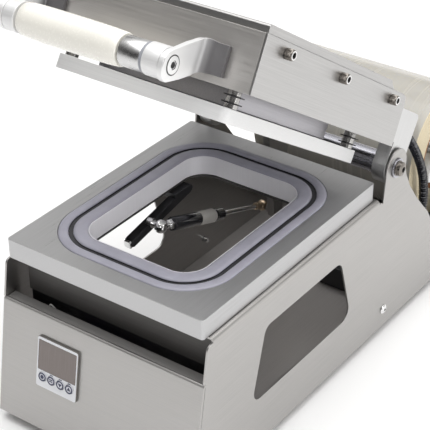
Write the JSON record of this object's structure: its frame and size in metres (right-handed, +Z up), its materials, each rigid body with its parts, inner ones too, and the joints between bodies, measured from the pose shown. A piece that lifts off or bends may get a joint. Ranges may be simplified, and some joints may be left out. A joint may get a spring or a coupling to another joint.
{
  "type": "manual tray sealer",
  "caption": "Hand-operated tabletop tray sealer in folded stainless sheet: a hinged heated head closes on a mould plate, with a film roll behind.",
  "frame": {"origin": "on the surface the feet stand on, in the middle of the object's box", "axes": "+Y from the front to the film roll at the back, +X to the operator's right, +Z up"},
  "size_m": [0.2436, 0.5499, 0.4236],
  "materials": {
    "brushed_steel": "fine linear brush, satin",
    "plate_aluminium": "machined and brushed",
    "deck_steel": "dark, in shadow",
    "black_steel": "satin black",
    "heater_aluminium": "smooth",
    "chrome": "polished",
    "silicone": "matte, slightly clear",
    "white_plastic": "moulded",
    "display": "smoked window",
    "key_plastic": "moulded",
    "grip_plastic": "turned, semi-gloss",
    "film": "wound film",
    "cardboard": "wound paper tube",
    "black_plastic": "moulded",
    "foot_rubber": "matte"
  },
  "bodies": {
    "base": {"side_panel_left": "brushed_steel", "side_panel_right": "brushed_steel", "deck_frame": "deck_steel", "front_panel": "brushed_steel", "rear_panel": "brushed_steel", "bottom_plate": "brushed_steel", "mould_plate": "plate_aluminium", "inner_seal": "silicone", "outer_seal": "silicone", "controller_case": "white_plastic", "controller_display": "display", "foot_front_left": "foot_rubber", "foot_front_right": "foot_rubber", "foot_rear_left": "foot_rubber", "foot_rear_right": "foot_rubber", "roll_shaft": "chrome", "power_inlet": "black_plastic", "spring_beam": "black_steel", "ball_stud_front": "chrome", "power_relay": "black_plastic", "panel_screw_left": "chrome", "panel_screw_right": "chrome", "pivot_bolt_left": "chrome", "pivot_bolt_right": "chrome", "conduit": "black_plastic"},
    "head": {"head_cover": "brushed_steel", "head_lid": "brushed_steel", "carrier_plate": "brushed_steel", "hinge_lever_left": "plate_aluminium", "hinge_lever_right": "plate_aluminium", "cross_shaft": "chrome", "spring_crank": "brushed_steel", "handle_arm_left": "brushed_steel", "handle_arm_right": "brushed_steel", "handle_boss_right": "plate_aluminium", "handle_collar": "chrome", "handle_rod": "plate_aluminium", "handle_screw_right": "chrome", "side_screw_front_left": "chrome", "side_screw_front_right": "chrome", "side_screw_middle_left": "chrome", "side_screw_middle_right": "chrome", "side_screw_rear_left": "chrome", "side_screw_rear_right": "chrome"},
    "heater": {"press_plate": "plate_aluminium", "heater_block": "heater_aluminium", "guide_bolt_front_left": "chrome", "guide_bolt_front_right": "chrome", "guide_bolt_rear_left": "chrome", "guide_bolt_rear_right": "chrome"},
    "grip": {"handle_grip": "grip_plastic"},
    "roll": {"roll_core": "cardboard", "film_roll": "film"},
    "key_a": {"key_1": "key_plastic"},
    "key_b": {"key_2": "key_plastic"},
    "key_c": {"key_3": "key_plastic"},
    "key_d": {"key_4": "key_plastic"},
    "rocker": {"rocker_switch": "black_plastic"},
    "gas_cylinder": {"gas_cylinder": "black_steel"},
    "gas_rod": {"gas_rod": "chrome"}
  },
  "joints": [
    {"name": "head_hinge", "type": "hinge", "parent": "base", "child": "head", "pos_m": [0, 0.062, 0.195], "axis": [1, 0, 0], "range_deg": [0, 32.8], "stiffness_Nm_per_rad": 11, "springref_deg": -114.59, "deforming": ["conduit"]},
    {"name": "heater_float", "type": "slide", "parent": "head", "child": "heater", "axis": [0, 0.5417, 0.8406], "range_m": [0, 0.0094]},
    {"name": "grip_spin", "type": "hinge", "parent": "head", "child": "grip", "pos_m": [0, -0.22376, 0.40379], "axis": [1, 0, 0], "continuous": true},
    {"name": "roll_spin", "type": "hinge", "parent": "base", "child": "roll", "pos_m": [0, 0.204, 0.142], "axis": [1, 0, 0], "continuous": true},
    {"name": "key_1_press", "type": "slide", "parent": "base", "child": "key_a", "axis": [0, 0.9863, -0.165], "range_m": [0, 0.0008], "stiffness_N_per_m": 400, "springref_m": -0.001},
    {"name": "key_2_press", "type": "slide", "parent": "base", "child": "key_b", "axis": [0, 0.9863, -0.165], "range_m": [0, 0.0008], "stiffness_N_per_m": 400, "springref_m": -0.001},
    {"name": "key_3_press", "type": "slide", "parent": "base", "child": "key_c", "axis": [0, 0.9863, -0.165], "range_m": [0, 0.0008], "stiffness_N_per_m": 400, "springref_m": -0.001},
    {"name": "key_4_press", "type": "slide", "parent": "base", "child": "key_d", "axis": [0, 0.9863, -0.165], "range_m": [0, 0.0008], "stiffness_N_per_m": 400, "springref_m": -0.001},
    {"name": "rocker_tilt", "type": "hinge", "parent": "base", "child": "rocker", "pos_m": [0.005, 0.233, 0.037], "axis": [1, 0, 0], "range_deg": [-16, 0]},
    {"name": "spring_swing", "type": "hinge", "parent": "base", "child": "gas_cylinder", "pos_m": [-0.043, -0.11, 0.158], "axis": [1, 0, 0], "range_deg": [0, 8.41]},
    {"name": "rod_slide", "type": "slide", "parent": "gas_cylinder", "child": "gas_rod", "axis": [0, 0.9414, -0.3374], "range_m": [0, 0.0477]}
  ],
  "couplings": [
    {"joint": "heater_float", "follows": "head_hinge", "m_per_rad": 0.016245},
    {"joint": "spring_swing", "follows": "head_hinge", "ratio": 0.25348},
    {"joint": "rod_slide", "follows": "head_hinge", "m_per_rad": 0.082547}
  ]
}
